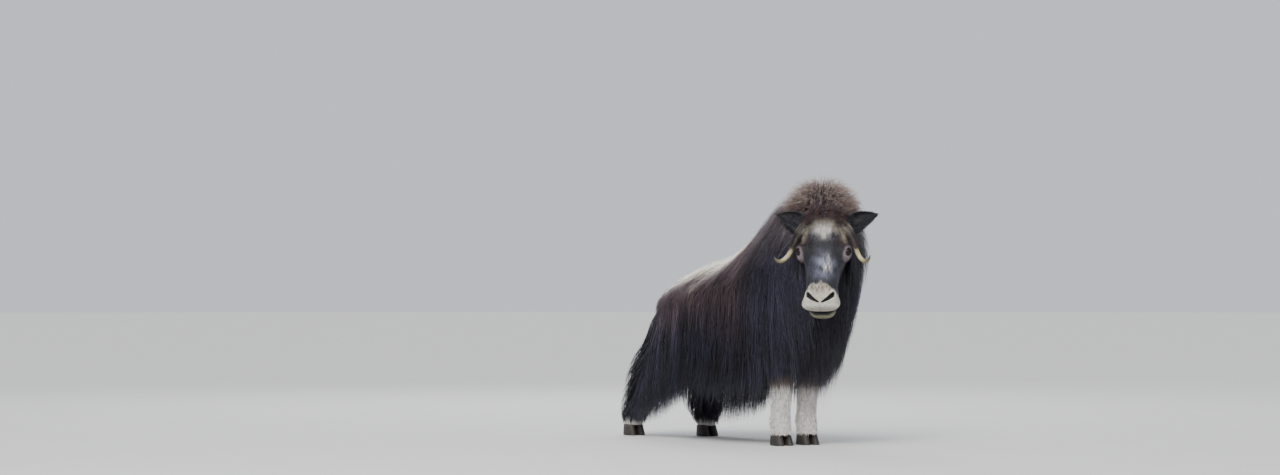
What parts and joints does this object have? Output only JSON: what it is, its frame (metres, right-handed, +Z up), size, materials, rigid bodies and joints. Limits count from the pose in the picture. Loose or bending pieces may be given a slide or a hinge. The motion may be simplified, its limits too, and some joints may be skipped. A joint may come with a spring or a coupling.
{
  "type": "muskox",
  "caption": "Life-size still model of a young muskox cow standing with its head turned, with short hooked horns, a woolly mane and a long hanging coat.",
  "frame": {"origin": "on the ground, in the middle of the box round the whole animal", "axes": "+X to the animal's left, -Y the way the body faces, +Z up"},
  "size_m": [0.5916, 1.7692, 1.1771],
  "materials": {
    "long_coat": "long hanging guard hair, black-brown with a bluish cast and brown where light rakes it",
    "mane": "frizzy upright wool, brown with pale grey-tan tips",
    "saddle": "short cream-white wool on the back",
    "face_fur": "short slate-black fur with a pale forehead and a blue-grey bridge",
    "muzzle": "very short pale fur on the lips, bare dark skin at the nostrils",
    "stockings": "white leg fur, stained brown at the knees",
    "horn": "ridged cream and olive horn with dark tips, half gloss",
    "hoof": "worn dark horn",
    "eye": "wet dark brown"
  },
  "bodies": {
    "root": {"head": "face_fur", "lower_jaw": "muzzle", "eye_left": "eye", "eye_right": "eye", "horn_left": "horn", "horn_right": "horn", "ear_left": "face_fur", "ear_right": "face_fur", "neck": "mane", "shoulders": "long_coat", "barrel": "long_coat", "rump": "long_coat", "tail": "long_coat", "foreleg_left": "stockings", "foreleg_right": "stockings", "hindleg_left": "long_coat", "hindleg_right": "long_coat", "hoof_fore_left_inner": "hoof", "hoof_fore_left_outer": "hoof", "hoof_fore_right_inner": "hoof", "hoof_fore_right_outer": "hoof", "hoof_hind_left_inner": "hoof", "hoof_hind_left_outer": "hoof", "hoof_hind_right_inner": "hoof", "hoof_hind_right_outer": "hoof"}
  },
  "joints": []
}
